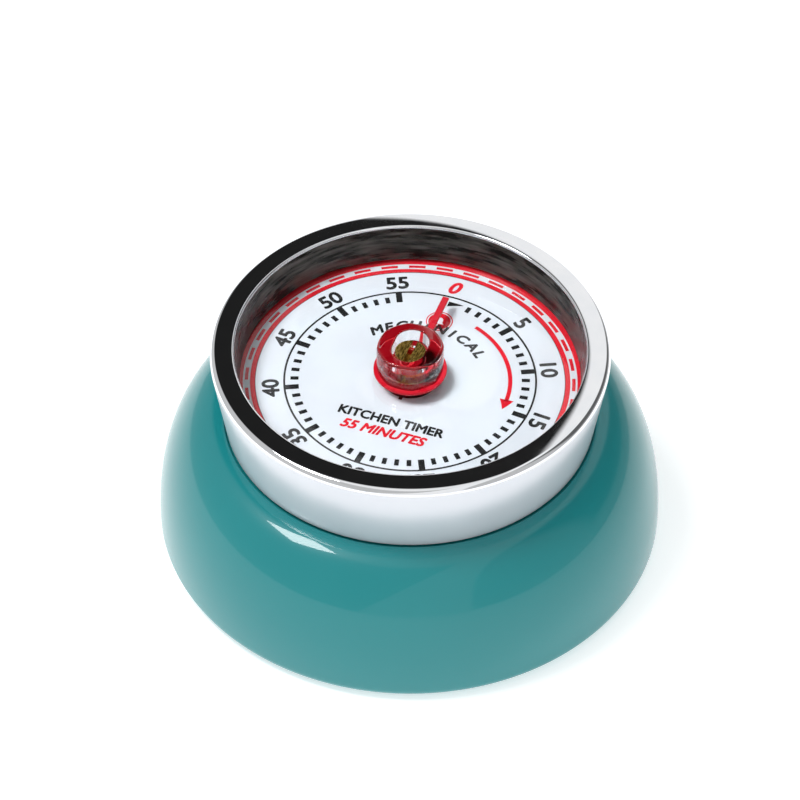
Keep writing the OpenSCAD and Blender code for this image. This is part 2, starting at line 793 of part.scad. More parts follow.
module knob() {
  knob_r = knob_d / 2;
  well_w = 2 * (arbor_r + well_gap);
  half_run = well_run / 2;
  well_z = knob_z + knob_h - well_depth;
  color("#f2f6f6", 0.5)
    difference() {
      rotate_extrude()
        polygon(concat(
          [[arbor_r + hair, knob_z], [knob_r, knob_z]],
          arc([knob_r - knob_edge_r, knob_z + knob_h - knob_edge_r], knob_edge_r, 0, 90, 6),
          [[arbor_r + hair, knob_z + knob_h]]));
      for (s = [-1, 1])
        disc_at([0, s * half_run], well_w / 2, well_z, well_depth + 1);
      translate([-well_w / 2, -half_run, well_z])
        cube([well_w, 2 * half_run, well_depth + 1]);
    }
}

// ---------------------------------------------------------------- train

module great_wheel() {
  color("#c8a24a")
    difference() {
      train_wheel([0, 0], great_teeth, great_module, first_leaves, great_z, heavy_wheel_t,
        core_r + bearing_play, second_dir, 0);
      disc_at(click_at, click_pin_r, great_z - 1, heavy_wheel_t + 2);
    }
}

module click_pin() {
  top = click_z + click_t;
  color("#8f9294") {
    disc_at(click_at, click_pin_r, great_z, top + hair - great_z);
    disc_at(click_at, click_pin_r + 0.5, top + hair, 0.2);
  }
}

module click() {
  color("#8f9294")
    difference() {
      union() {
        arm(click_at, click_tip_at, 2 * click_tip_r, click_z, click_t);
        disc_at(click_at, click_pin_r + 0.6, click_z, click_t);
      }
      disc_at(click_at, click_pin_r + bearing_play, click_z - 1, click_t + 2);
    }
}

module click_spring() {
  wire_w = 0.25;
  back_gap = click_tip_r + wire_w / 2 + bearing_play;
  along = unit(click_tip_at - click_at);
  outward = [-along[1], along[0]];
  press_at = click_tip_at - 0.8 * along + back_gap * outward;
  anchor_at = press_at + 3.4 * unit(outward - 0.55 * along);
  color("#5f6a74") {
    arm(anchor_at, press_at, wire_w, click_z, click_t);
    disc_at(anchor_at, 0.7, click_z, click_t);
  }
}

module second_pinion() {
  color("#8f9294")
    pinion_arbor(second_at, first_leaves, great_module, big_body_r, great_z, heavy_wheel_t, second_dir);
}

module second_wheel() {
  color("#c8a24a")
    train_wheel(second_at, second_teeth, second_module, leaves, low_wheel_z, wheel_t,
      big_body_r, third_dir, 5);
}

module third_pinion() {
  color("#8f9294")
    pinion_arbor(third_at, leaves, second_module, small_body_r, low_wheel_z, wheel_t, third_dir);
}

module third_wheel() {
  color("#c8a24a")
    train_wheel(third_at, third_teeth, third_module, leaves, third_wheel_z, wheel_t,
      small_body_r, fourth_dir, 5);
}

module fourth_pinion() {
  color("#8f9294")
    pinion_arbor(fourth_at, leaves, third_module, small_body_r, third_wheel_z, wheel_t, fourth_dir);
}

module fourth_wheel() {
  color("#c8a24a")
    train_wheel(fourth_at, third_teeth, fourth_module, leaves, fourth_wheel_z, wheel_t,
      small_body_r, escape_dir, 4);
}

module escape_pinion() {
  color("#8f9294")
    pinion_arbor(escape_at, leaves, fourth_module, small_body_r, fourth_wheel_z, wheel_t, escape_dir);
}

// A wheel with pointed, leaning teeth
module star(at, r, depth, teeth, lean, z, t, bore_r) {
  translate([at[0], at[1], z])
    difference() {
      linear_extrude(t)
        polygon([for (k = [0:teeth - 1], s = [0, 1, 2])
          polar(s == 0 ? r : r - depth, 360 * (k + [lean, 0.3, 0.7][s]) / teeth)]);
      translate([0, 0, -1])
        cylinder(r = bore_r, h = t + 2);
    }
}

module escape_wheel() {
  color("#c8a24a")
    star(escape_at, escape_r, 1.1, escape_teeth, 0.1, escape_z, 0.6, small_body_r);
}

module strike_pinion() {
  color("#8f9294")
    pinion_arbor(strike_at, first_leaves, great_module, big_body_r, great_z, heavy_wheel_t, strike_dir);
}

module strike_wheel() {
  color("#8f9294")
    star(strike_at, strike_r, 1.5, 9, 0.15, low_wheel_z, lever_t, big_body_r);
}

// ---------------------------------------------------------------- escapement

pallet_pin_r = 0.35;
pallet_swing = 8;
pallet_arm = 3.2;

// Angle between the line of centres and a pin that stays clear of the escape wheel as it rocks
pallet_spread = pallet_swing + acos((pow(pallet_distance, 2) + pow(pallet_arm, 2)
  - pow(escape_r + pallet_pin_r + running_gap, 2)) / (2 * pallet_distance * pallet_arm));

module pallet_arbor() {
  color("#8f9294")
    train_arbor(pallet_at, small_body_r);
}

module pallet_lever() {
  color("#8f9294")
    difference() {
      union() {
        disc_at(pallet_at, 1.3, pallet_z, 0.6);
        for (s = [-1, 1]) {
          pin_at = pallet_at + polar(pallet_arm, pallet_dir + 180 + s * pallet_spread);
          arm(pallet_at, pin_at, 1, pallet_z, 0.6);
          disc_at(pin_at, pallet_pin_r, escape_z - 0.1, pallet_z - escape_z + 0.3);
        }
      }
      disc_at(pallet_at, small_body_r, pallet_z - 1, 3);
    }
}

module balance_bar() {
  reach = 5.6;
  color("#c8a24a")
    difference() {
      union() {
        for (s = [0, 180]) {
          end_at = pallet_at + polar(reach, pallet_dir + 90 + s);
          arm(pallet_at, end_at, 1.1, level(1.1), lever_t);
          disc_at(end_at, 1.2, level(0.7), 1.8);
        }
        disc_at(pallet_at, 1.2, level(1.1), lever_t);
      }
      disc_at(pallet_at, small_body_r, back_top, 4);
    }
}

// ---------------------------------------------------------------- hammer

module hammer_arbor() {
  color("#8f9294")
    train_arbor(hammer_at, big_body_r);
}

module hammer_lever() {
  tail_at = strike_at + (strike_r + finger_r + running_gap) * unit(hammer_at - strike_at);
  finger_at = polar(cam_r + finger_r + running_gap, hammer_dir);
  color("#8f9294")
    difference() {
      union() {
        disc_at(hammer_at, 1.8, hammer_lever_z, lever_t);
        arm(hammer_at, hammer_head_at, 1.4, hammer_lever_z, lever_t);
        for (p = [tail_at, finger_at]) {
          arm(hammer_at, p, 1.2, hammer_lever_z, lever_t);
          disc_at(p, finger_r, cam_z + 0.1, hammer_lever_z - cam_z);
        }
      }
      disc_at(hammer_at, big_body_r, hammer_lever_z - 1, lever_t + 2);
    }
}

module hammer_head() {
  color("#c8a24a")
    disc_at(hammer_head_at, hammer_r, hammer_bottom, hammer_lever_z - hammer_bottom);
}

module hammer_spring() {
  wire_r = 0.15;
  coil_r = big_body_r + 0.5;
  turns = 3.5;
  steps = 16 * turns;
  low = hammer_lever_z + lever_t + 0.4;
  rise = 0.55;
  at = [hammer_at[0], hammer_at[1], 0];
  coil = [for (k = [0:steps])
    let (p = polar(coil_r, 360 * turns * k / steps))
    at + [p[0], p[1], low + rise * turns * k / steps]];
  low_leg = coil[0] + [0, -3.2, 0];
  high_leg = coil[steps] + [0, -3.2, 0];
  color("#5f6a74")
    wire(concat([low_leg], coil, [high_leg]), wire_r);
}

housing();
bezel();
retaining_ring();
lens();
lens_spacer();
dial();
back_cover();
cover_screws();
magnet();
magnet_keeper();
magnet_rivet();
front_plate();
back_plate();
pillars();
pillar_screws();
movement_screws();
front_bush();
bell_post();
bell();
bell_screw();
spring_post();
mainspring();
winding_arbor();
ratchet_wheel();
release_cam();
great_wheel_clip();
pointer();
knob();
great_wheel();
click_pin();
click();
click_spring();
second_pinion();
second_wheel();
third_pinion();
third_wheel();
fourth_pinion();
fourth_wheel();
escape_pinion();
escape_wheel();
strike_pinion();
strike_wheel();
pallet_arbor();
pallet_lever();
balance_bar();
hammer_arbor();
hammer_lever();
hammer_head();
hammer_spring();
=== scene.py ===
# %% [markdown]
# # A round kitchen timer, dressed for its portrait
#
# The finished mechanical model comes first. It stands on its magnet with the dial facing
# up, in metres, and nothing in it is moved. The pieces made below are laid over it, and
# each of them rides on the body that carries it, so the knob still turns with its pointer.

import math

import bmesh
import bpy
import numpy as np
from mathutils import Matrix, Vector


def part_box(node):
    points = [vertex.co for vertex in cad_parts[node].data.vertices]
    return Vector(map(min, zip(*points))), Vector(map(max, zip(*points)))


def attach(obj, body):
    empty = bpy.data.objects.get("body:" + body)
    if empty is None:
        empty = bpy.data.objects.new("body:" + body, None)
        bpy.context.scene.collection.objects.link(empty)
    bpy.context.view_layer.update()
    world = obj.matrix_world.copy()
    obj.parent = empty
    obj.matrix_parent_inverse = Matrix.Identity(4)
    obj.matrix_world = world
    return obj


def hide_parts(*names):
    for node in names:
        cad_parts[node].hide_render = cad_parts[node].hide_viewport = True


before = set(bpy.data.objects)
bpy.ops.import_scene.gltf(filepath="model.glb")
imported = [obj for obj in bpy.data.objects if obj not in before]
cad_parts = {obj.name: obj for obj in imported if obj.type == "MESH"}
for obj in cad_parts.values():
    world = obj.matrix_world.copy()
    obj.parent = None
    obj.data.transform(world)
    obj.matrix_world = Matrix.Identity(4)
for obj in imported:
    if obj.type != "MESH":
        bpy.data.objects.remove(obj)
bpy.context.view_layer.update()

# %% [markdown]
# ## The camera
#
# A portrait of something this small is taken from half a metre away with a long lens, so
# that the round case hardly narrows with distance. A wide lens close by would show more
# of the front and less of the dial. The camera looks down at forty-six degrees and leans
# very slightly to one side. It is aimed a little above the case, which puts the timer low
# in the picture.

# %% Find where the camera stands
MM = 0.001
azimuth, elevation, lean = np.radians([19.3, 45.89, 0.4])
distance, focus_height = 514.4, 15.0
aim_right, aim_up = -1.35, 5.0

level_right = np.array([math.cos(azimuth), math.sin(azimuth), 0.0])
level_back = np.array([math.sin(azimuth), -math.cos(azimuth), 0.0])
back = math.cos(elevation) * level_back + [0.0, 0.0, math.sin(elevation)]
level_up = np.cross(back, level_right)
right = math.cos(lean) * level_right + math.sin(lean) * level_up
up = math.cos(lean) * level_up - math.sin(lean) * level_right
eye = np.array([0.0, 0.0, focus_height]) + distance * back
sight = distance * back - aim_right * right - aim_up * up
sight = sight / np.linalg.norm(sight)
right = np.cross(up, sight) / np.linalg.norm(np.cross(up, sight))
print("the camera stands at", np.round(eye, 1), "mm")

# %% Place the camera
focal_length, nearest, furthest = 167.2, 0.05, 20.0
scene = bpy.context.scene
camera_data = bpy.data.cameras.new("portrait_lens")
camera_data.lens = focal_length
camera_data.clip_start, camera_data.clip_end = nearest, furthest
camera = bpy.data.objects.new("portrait_camera", camera_data)
scene.collection.objects.link(camera)
turned_camera = Matrix(np.column_stack([right, np.cross(sight, right), sight]).tolist())
camera.matrix_world = Matrix.Translation((eye * MM).tolist()) @ turned_camera.to_4x4()
scene.camera = camera
print("its lens is", focal_length, "mm")

# %% [markdown]
# ## Turning an outline
#
# Almost everything on this timer was turned or pressed round one axis. A Screw modifier
# could sweep an outline round it. Here it is done with arrays instead: a turned piece is
# a function of two numbers, the angle round the axis and the place along its outline, so
# a whole surface is one array of points, and every size can be read off the formula.

# %% Turn an outline
def turned(outline, sides=192):
    """Point (i, j) is outline point j = (r, z) turned clockwise from +Y by angle i of a
    full circle: (r sin a, r cos a, z)."""
    a = np.linspace(0, 2 * np.pi, sides, endpoint=False)[:, None]
    r, z = np.asarray(outline, float).T[:, None]
    return np.stack([r * np.sin(a), r * np.cos(a), z + 0 * a], -1)


washer = turned([[1, 0], [2, 0], [2, 1], [1, 1]])
print("a washer's 4 corners turn into a grid of", washer.shape[:2], "points")

# %% Make a grid of points into faces
def volume_inside(points, faces):
    """A sixth of the sum of a . (b x c) over the two triangles of each four-sided face. It
    is positive where the faces of a closed sheet point outwards."""
    a, b, c, d = (points[faces[:, k]] for k in range(4))
    return ((a * np.cross(b, c)).sum() + (a * np.cross(c, d)).sum()) / 6


def sheet(points, around=True):
    """Point (i, j) joins (i+1, j), (i+1, j+1) and (i, j+1) as one four-sided face. The last
    column joins the first, and so does the last row where the sheet goes all the way
    round. Faces that would point inwards are reversed."""
    n, m = points.shape[:2]
    i, j = np.meshgrid(np.arange(n if around else n - 1), np.arange(m), indexing="ij")
    i2, j2 = (i + 1) % n, (j + 1) % m
    faces = np.stack([i * m + j, i2 * m + j, i2 * m + j2, i * m + j2], -1).reshape(-1, 4)
    flat = points.reshape(-1, 3)
    return flat, faces if volume_inside(flat, faces) >= 0 else faces[:, ::-1]


print("the washer's volume is", round(volume_inside(*sheet(washer)), 2), "and should be 3 pi")

# %% [markdown]
# ## From arrays to an object
#
# Blender wants a mesh inside an object. The mesh is shaded smooth, so that a circle of
# flat faces looks round, but an edge that turns sharply has to stay crisp. Every object
# stays at the origin with its place in its points, and it is told which moving body
# carries it and which solids of the mechanical model it stands for.

# %% Turn arrays into an object
SHARP = math.radians(35)
WELD = 1e-7


def piece(name, parts, body, *replaced):
    """Joins parts (points in millimetres, faces) into one object, welds points that meet,
    and rides it on its body in place of the nodes it replaces."""
    starts = np.cumsum([0] + [len(points) for points, _ in parts])[:-1]
    points = np.concatenate([points for points, _ in parts]) * MM
    faces = []
    for start, (_, part_faces) in zip(starts, parts):
        faces += (np.asarray(part_faces) + start).tolist()
    mesh = bpy.data.meshes.new(name)
    mesh.from_pydata(points.tolist(), [], faces)
    work = bmesh.new()
    work.from_mesh(mesh)
    bmesh.ops.remove_doubles(work, verts=work.verts, dist=WELD)
    work.to_mesh(mesh)
    work.free()
    mesh.shade_smooth()
    mesh.set_sharp_from_angle(angle=SHARP)
    mesh.update()
    made = bpy.data.objects.new(name, mesh)
    scene.collection.objects.link(made)
    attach(made, body)
    if replaced:
        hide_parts(*replaced)
    print(f"{name}: {len(mesh.vertices)} points, {len(mesh.polygons)} faces on {body}")
    return made


print("edges that turn more than", round(math.degrees(SHARP)), "degrees stay crisp")

# %% [markdown]
# ## The pressed case
#
# The case is drawn from thin steel sheet and rolled in at its foot. A subdivided
# cylinder could be pulled to this shape by eye, but a formula gives the fullness in one
# number. From its widest circle up to the shoulder the side is a quarter of a
# superellipse, a little fuller than an ellipse. The wall has one thickness all the way,
# so the inside is the same line moved inwards along its normal.

# %% Draw the case's side and its rolled foot
case_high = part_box("housing")[1]
bezel_low, bezel_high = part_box("bezel")
case_r, neck_top = case_high.x / MM, case_high.z / MM
shoulder_z, rim_z, rim_r = bezel_low.z / MM, bezel_high.z / MM, bezel_high.x / MM
foot_r, wall, hem_z, fold_r, fullness = 25.4, 0.6, 0.3, 1.6, 2.13


def side(depth, steps=48):
    """The case's side as (r, z): r = foot + (widest - foot) cos^(2/n) t and z = fold +
    height sin^(2/n) t for t from 0 to 90 degrees, moved inwards by depth along the normal."""
    t = np.linspace(0, np.pi / 2, steps)
    a, b = case_r - foot_r, shoulder_z - hem_z - fold_r
    c, s = np.cos(t) ** (2 / fullness), np.sin(t) ** (2 / fullness)
    normal = np.column_stack([c ** (fullness - 1) / a, s ** (fullness - 1) / b])
    normal /= np.linalg.norm(normal, axis=1, keepdims=True)
    return np.column_stack([foot_r + a * c, hem_z + fold_r + b * s]) - depth * normal


def fold(radius, steps=10):
    """The rolled foot: a quarter circle from pointing down to pointing out, (centre +
    radius cos t, centre + radius sin t)."""
    t = np.linspace(-np.pi / 2, 0, steps, endpoint=False)
    across, height = case_r - fold_r + radius * np.cos(t), hem_z + fold_r + radius * np.sin(t)
    return np.column_stack([across, height])


print("the side rises from", np.round(side(0)[0], 2), "to", np.round(side(0)[-1], 2), "mm")

# %% Press the case
neck_r, hem_in_r, seat_in_r = 24.6, 32.2, 21.6
groove_r, groove_z = foot_r + 0.1, shoulder_z - 0.45
chamfer, nick = 0.1, 0.05

shoulder = side(0)[-2]
dip = np.linspace(0.15, 1, 6) * np.pi / 2
groove = np.column_stack([
    groove_r + (shoulder[0] - groove_r) * (1 - np.sin(dip)),
    shoulder[1] + (groove_z - shoulder[1]) * (1 - np.cos(dip)),
])
neck = [
    [neck_r + nick, groove_z],
    [neck_r, groove_z + nick],
    [neck_r, neck_top - chamfer],
    [neck_r - chamfer, neck_top],
    [seat_in_r, neck_top],
]
neck_inside = [
    [neck_r - wall, shoulder_z - wall],
    [neck_r - wall, neck_top - wall],
    [seat_in_r, neck_top - wall],
]
outside = np.concatenate([[[hem_in_r, hem_z]], fold(fold_r), side(0)[:-1], groove, neck])
inside = np.concatenate([[[hem_in_r, hem_z + wall]], fold(fold_r - wall), side(wall), neck_inside])
case_outline = np.concatenate([outside, inside[::-1]])
case = piece("case_shell", [sheet(turned(case_outline, 256))], "case", "housing")

# %% [markdown]
# ## The chromed bezel
#
# The bezel is spun from brass sheet and chromed: a skirt that flares upwards, a rounded
# edge, a nearly flat top that sheds towards the edge, and a lip turned down into the
# well. A Bevel modifier could round its edges, but each corner has its own radius, so
# each corner of the outline carries one and becomes an arc before it is turned.

# %% Round the corners of an outline
def rounded(corners, steps):
    """An outline whose corners (x, y, radius) become arcs. The arc's centre lies on the
    corner's bisector at radius / sin(half angle), and the arc runs between its two
    tangent points, at radius / tan(half angle) from the corner along each side."""
    corners = np.array(corners, float)
    point, radius = corners[:, :2], np.maximum(corners[:, 2:], 1e-4)
    unit = lambda v: v / np.linalg.norm(v, axis=-1, keepdims=True)
    to_last, to_next = unit(np.roll(point, 1, 0) - point), unit(np.roll(point, -1, 0) - point)
    half = 0.5 * np.arccos(np.clip((to_last * to_next).sum(1, keepdims=True), -1, 1))
    centre = point + unit(to_last + to_next) * radius / np.sin(half)
    first = point + to_last * radius / np.tan(half) - centre
    last = point + to_next * radius / np.tan(half) - centre
    sweep, t = (np.pi - 2 * half)[:, None], np.linspace(0, 1, steps + 1)[None, :, None]
    early, late = np.sin((1 - t) * sweep) * first[:, None], np.sin(t * sweep) * last[:, None]
    return (centre[:, None] + (early + late) / np.sin(sweep)).reshape(-1, 2)


card = rounded([[0, 0, 1], [4, 0, 1], [4, 2, 1], [0, 2, 1]], 6)
print("a card with four rounded corners has", len(card), "points")

# %% Spin the bezel
open_r, skirt_t, lip_h = 23.85, 0.65, 0.4
top_fall, rim_round, crisp = 0.2, 0.85, 0.05
skirt = [
    [foot_r - skirt_t, shoulder_z, 0.1],
    [foot_r, shoulder_z, 0.15],
    [rim_r, rim_z - top_fall, rim_round],
    [open_r, rim_z, 0.3],
    [open_r, rim_z - lip_h, crisp],
    [open_r + skirt_t, rim_z - lip_h, crisp],
    [open_r + skirt_t, rim_z - 0.7, crisp],
    [rim_r - 1.0, rim_z - 0.95, 0.3],
]
bezel = piece("spun_bezel", [sheet(turned(rounded(skirt, 10), 256))], "case", "bezel")

# %% Mark the skirt's faces for a finish of their own
painted_white_below = rim_z - 1.0
middles = np.zeros(3 * len(bezel.data.polygons))
bezel.data.polygons.foreach_get("center", middles)
middles = middles.reshape(-1, 3) / MM
outer_face = np.hypot(middles[:, 0], middles[:, 1]) > foot_r - 0.1
on_skirt = (middles[:, 2] < painted_white_below) & outer_face
print(on_skirt.sum(), "of the bezel's faces are on its skirt")

# %% [markdown]
# ## The ring, the lens and the dial
#
# Below the bezel's lip a cone of bare spun steel runs down to the glass and holds it. The
# glass is a flat disc with a hole for the knob's arbor, and the dial is a flat disc under
# it. A disc needs no more than a rectangle turned round the axis. The rounding of its
# corners is what catches the light, so even these small ones are kept.

# %% Spin the ring
lens_low, lens_top = (corner.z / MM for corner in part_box("lens"))
seat_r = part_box("lens")[1].x / MM
ring_run, ring_tuck, hair = 1.2, 0.5, 0.02
ring_top = rim_z - lip_h - hair
ring_outline = [
    [seat_r - ring_run, lens_top, crisp],
    [seat_r, lens_top, crisp],
    [open_r + ring_tuck, ring_top, crisp],
    [open_r, ring_top, crisp],
]
ring_sheet = sheet(turned(rounded(ring_outline, 3), 256))
inner_ring = piece("inner_ring", [ring_sheet], "case", "retaining_ring")

# %% Cut the lens and the dial
dial_low, dial_top = (corner.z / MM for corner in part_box("dial"))
lens_bore, lens_chamfer = 3.2, 0.12
dial_bore, dial_under, dial_upper = 2.9, 0.02, 0.04
lens_outline = [
    [lens_bore, lens_low, crisp],
    [seat_r, lens_low, crisp],
    [seat_r, lens_top, crisp],
    [lens_bore, lens_top, lens_chamfer],
]
dial_outline = [
    [dial_bore, dial_low, dial_under],
    [seat_r, dial_low, dial_under],
    [seat_r, dial_top, dial_upper],
    [dial_bore, dial_top, dial_upper],
]
lens = piece("flat_lens", [sheet(turned(rounded(lens_outline, 4)))], "case", "lens")
dial = piece("dial_disc", [sheet(turned(rounded(dial_outline, 2)))], "case", "dial")

# %% [markdown]
# ## The printing on the dial
#
# The dial is white lacquer, screen printed in black and red. An image could carry the
# printing, but it would blur close up. Each mark is a film of ink a fiftieth of a
# millimetre thick, so it is made as a thin strip: two edges carried along a line or round
# a circle. Minute m stands at 5 + 6 m degrees, clockwise from the zero mark, because the
# spring needs its first few degrees to let the bell go.

# %% Carry a strip along a pair of edges
INK_LOW, INK_HIGH = dial_top - 0.01, dial_top + 0.02


def polar(r, degrees):
    """A point at radius r and a clockwise angle from +Y: (r sin a, r cos a)."""
    a = np.radians(degrees)
    return np.stack(np.broadcast_arrays(r * np.sin(a), r * np.cos(a)), -1)


def strip(left, right, ring=False):
    """A film of ink: its section is the rectangle between the two edges and the two ink
    heights, carried along them. A strip that isn't a ring is closed by its ends."""
    level = lambda edge, z: np.column_stack([edge, np.full(len(edge), z)])
    corners = [(left, INK_LOW), (right, INK_LOW), (right, INK_HIGH), (left, INK_HIGH)]
    section = np.stack([level(np.asarray(edge, float), z) for edge, z in corners], 1)
    if not ring:
        ends = section[[0, -1]].mean(1, keepdims=True) + np.zeros((2, 4, 1))
        section = np.concatenate([ends[:1], section, ends[1:]])
    return sheet(section, around=ring)


print("the ink lies from", round(INK_LOW, 3), "to", round(INK_HIGH, 3), "mm")

# %% Shape circles, arcs and ticks
def minute_angle(minute):
    """Clockwise angle of a minute from the zero mark, in degrees: 5 + 6 m."""
    return 5.0 + 6.0 * minute


def arc_strip(r_in, r_out, start, end, steps):
    """A strip between two radii from one angle to another."""
    a = np.linspace(start, end, steps)
    return strip(polar(r_in, a), polar(r_out, a))


def circle(r_in, r_out, steps=180):
    """A closed ring between two radii."""
    a = np.linspace(0, 360, steps, endpoint=False)
    return strip(polar(r_in, a), polar(r_out, a), ring=True)


def tick(angle, r_in, r_out, width):
    """A straight mark along a radius, as wide at its inner end as at its outer one: the
    radius moved half a width to each side."""
    a = math.radians(angle)
    along, across = np.array([math.sin(a), math.cos(a)]), np.array([math.cos(a), -math.sin(a)])
    line = np.outer([r_in, r_out], along)
    return strip(line - across * width / 2, line + across * width / 2)


print("minute 55 stands at", minute_angle(55), "degrees")

# %% Print the black marks
minute_circle, hairline, arbor_circle = (17.0, 17.27), (21.02, 21.1), (3.35, 3.8)
tick_in, long_out, short_out, long_w, short_w = 15.2, 17.1, 16.3, 0.85, 0.62
wedge_out, wedge_h, wedge_end = 16.2, 0.95, 7.6

black = [circle(*minute_circle), circle(*hairline), circle(*arbor_circle)]
black += [tick(180, 3.7, 4.25, 0.5)]
black += [tick(minute_angle(m), tick_in, long_out, long_w) for m in range(5, 56, 5)]
black += [tick(minute_angle(m), tick_in, short_out, short_w) for m in range(1, 55) if m % 5]
wedge = np.linspace(0, wedge_end, 12)
black += [strip(polar(tick_in + wedge_h * wedge / wedge_end, wedge), polar(wedge_out, wedge))]
print(len(black), "black marks")

# %% Print the red border and the arrow
inner_border, outer_border = (21.1, 21.75), (22.72, 23.8)
dashes, dash_step, dash_sweep = (22.0, 22.46), 10, 6
arrow_r, arrow_half, head_half = 13.645, 0.285, 0.95
arrow_start, shaft_end, head_start, head_sweep = 22, 88, 87, 8

red = [circle(*inner_border), circle(*outer_border)]
for start in range(0, 360, dash_step):
    red.append(arc_strip(*dashes, start, start + dash_sweep, 6))
red.append(arc_strip(arrow_r - arrow_half, arrow_r + arrow_half, arrow_start, shaft_end, 48))
head = np.linspace(0, 1, 5)
head_w, head_angle = head_half * (1 - head), head_start + head_sweep * head
red.append(strip(polar(arrow_r - head_w, head_angle), polar(arrow_r + head_w, head_angle)))
print(len(red), "red marks")

# %% [markdown]
# ## The bell mark
#
# Near the top of the dial a small round badge shows a bell. The bell is white because the
# red ink leaves it out. Cutting it with a Boolean would work, but a flat curve with
# several closed outlines already fills what lies between the outer one and the holes.

# %% Cut flat shapes with holes
def as_triangles(curve):
    """A flat curve or a word as arrays of points and triangles. It needs an object while
    Blender works its shape out, and that object is removed again."""
    holder = bpy.data.objects.new("blank", curve)
    scene.collection.objects.link(holder)
    bpy.context.view_layer.update()
    mesh = holder.evaluated_get(bpy.context.evaluated_depsgraph_get()).to_mesh()
    mesh.calc_loop_triangles()
    points = np.zeros(3 * len(mesh.vertices))
    faces = np.zeros(3 * len(mesh.loop_triangles), int)
    mesh.vertices.foreach_get("co", points)
    mesh.loop_triangles.foreach_get("vertices", faces)
    bpy.data.objects.remove(holder)
    return points.reshape(-1, 3), faces.reshape(-1, 3)


def punched(outlines, low, high, edge):
    """A flat plate between two heights, its edges rounded by edge: closed outlines in
    millimetres, filled between the outer one and the holes."""
    flat = bpy.data.curves.new("blank", "CURVE")
    flat.dimensions, flat.fill_mode = "2D", "BOTH"
    flat.extrude, flat.offset = (high - low) / 2 - edge, -edge
    flat.bevel_depth, flat.bevel_resolution = edge, 2
    for outline in outlines:
        spline = flat.splines.new("POLY")
        spline.points.add(len(outline) - 1)
        across, along = np.asarray(outline, float).T
        flat_points = np.column_stack([across, along, 0 * across, 1 + 0 * across])
        spline.points.foreach_set("co", flat_points.ravel())
        spline.use_cyclic_u = True
    points, faces = as_triangles(flat)
    return points + [0, 0, (low + high) / 2], faces


blank = punched([polar(5.0, np.linspace(0, 360, 36, endpoint=False))], 0.0, 0.4, 0.1)
print("a round blank cut from 36 corners has", len(blank[0]), "points and", len(blank[1]), "faces")

# %% Print the bell mark
badge_place, badge_r, badge_ring, badge_sides = [0, 12.1, 0], 1.55, (1.72, 1.87), 64
bell_r, bell_shift, clapper_r, clapper_drop = 0.46, 0.28, 0.18, -0.78
bell_skirt = [[-0.5, -0.15], [-0.78, -0.5], [0.78, -0.5], [0.5, -0.15]]

full_turn = np.linspace(0, 360, badge_sides, endpoint=False)
over_the_top = np.radians(np.linspace(0, 180, 13))
bell_top = bell_r * np.column_stack([np.cos(over_the_top), np.sin(over_the_top)]) + [0, bell_shift]
clapper = polar(clapper_r, full_turn[::4]) + [0, clapper_drop]
badge_holes = [np.concatenate([bell_top, bell_skirt]), clapper]
badge = punched([polar(badge_r, full_turn), *badge_holes], INK_LOW, INK_HIGH, 0.0)
for points, faces in (badge, circle(*badge_ring, 72)):
    red.append((points + badge_place, faces))
print("the badge is", 2 * badge_ring[1], "mm across")

# %% [markdown]
# ## The numerals and the words
#
# The numerals stand on a circle, each turned with its own minute, and the words are plain
# descriptions of the timer. Blender's built-in face is lighter than printed numerals are.
# Widening its outlines with a curve offset closes the small spaces inside a letter, so
# the weight comes from stamping each word eight times round a small circle. Each stamp
# lies a thousandth of a millimetre above the last, because faces in one plane flicker.

# %% Shape words, and place them
STAMPS, STAMP_RISE = 8, 0.001


def letters(text, cap, bold, wide=1.0, slant=0.0):
    """Words in the built-in face as (points, triangles): centred on the origin, cap
    millimetres high and wide times as wide as they are drawn. Point p is stamped at
    p + bold (cos a, sin a) for each angle a of the circle of stamps."""
    words = bpy.data.curves.new("words", "FONT")
    words.body, words.extrude, words.shear, words.resolution_u = text, 0.1, slant, 4
    points, faces = as_triangles(words)
    low, high = points.min(0), points.max(0)
    points = (points - (low + high) / 2) / (high - low)[1] * cap
    points[:, 0] *= wide
    points[:, 2] = np.where(points[:, 2] > 0, INK_HIGH, INK_LOW)
    a, count = np.linspace(0, 2 * np.pi, STAMPS, endpoint=False), np.arange(STAMPS)
    moves = np.column_stack([bold * np.cos(a), bold * np.sin(a), STAMP_RISE * count])
    faces = faces[None] + len(points) * count[:, None, None]
    return (points[None] + moves[:, None]).reshape(-1, 3), faces.reshape(-1, 3)


def placed(part, place, angle=0.0):
    """A part turned clockwise by an angle about the vertical and moved to a place (x, y):
    (x cos a + y sin a, y cos a - x sin a)."""
    points, faces = part[0].copy(), part[1]
    c, s = math.cos(math.radians(angle)), math.sin(math.radians(angle))
    points[:, :2] = points[:, :2] @ np.array([[c, -s], [s, c]]) + place
    return points, faces


print("a numeral is stamped", STAMPS, "times")

# %% Set the numerals and the words
numeral_r, numeral_cap = 19.0, 2.2
for minute in range(5, 56, 5):
    angle = minute_angle(minute)
    numeral = letters(str(minute), numeral_cap, 0.1, 1.06)
    black.append(placed(numeral, polar(numeral_r, angle), angle))
red.append(placed(letters("0", numeral_cap, 0.13, slant=0.25), polar(numeral_r, 0.0)))

black.append(placed(letters("KITCHEN TIMER", 1.45, 0.08), [0.3, -8.4]))
red.append(placed(letters("55 MINUTES", 1.55, 0.09, slant=0.25), [0.0, -10.7]))
word, word_r, first, last = "MECHANICAL", 10.7, -45.0, 43.0
for letter, angle in zip(word, np.linspace(first, last, len(word))):
    shape = letters(letter, 1.45, 0.09, 1.15, slant=0.15)
    black.append(placed(shape, polar(word_r, angle), angle))

black_print = piece("black_print", black, "case")
red_print = piece("red_print", red, "case")

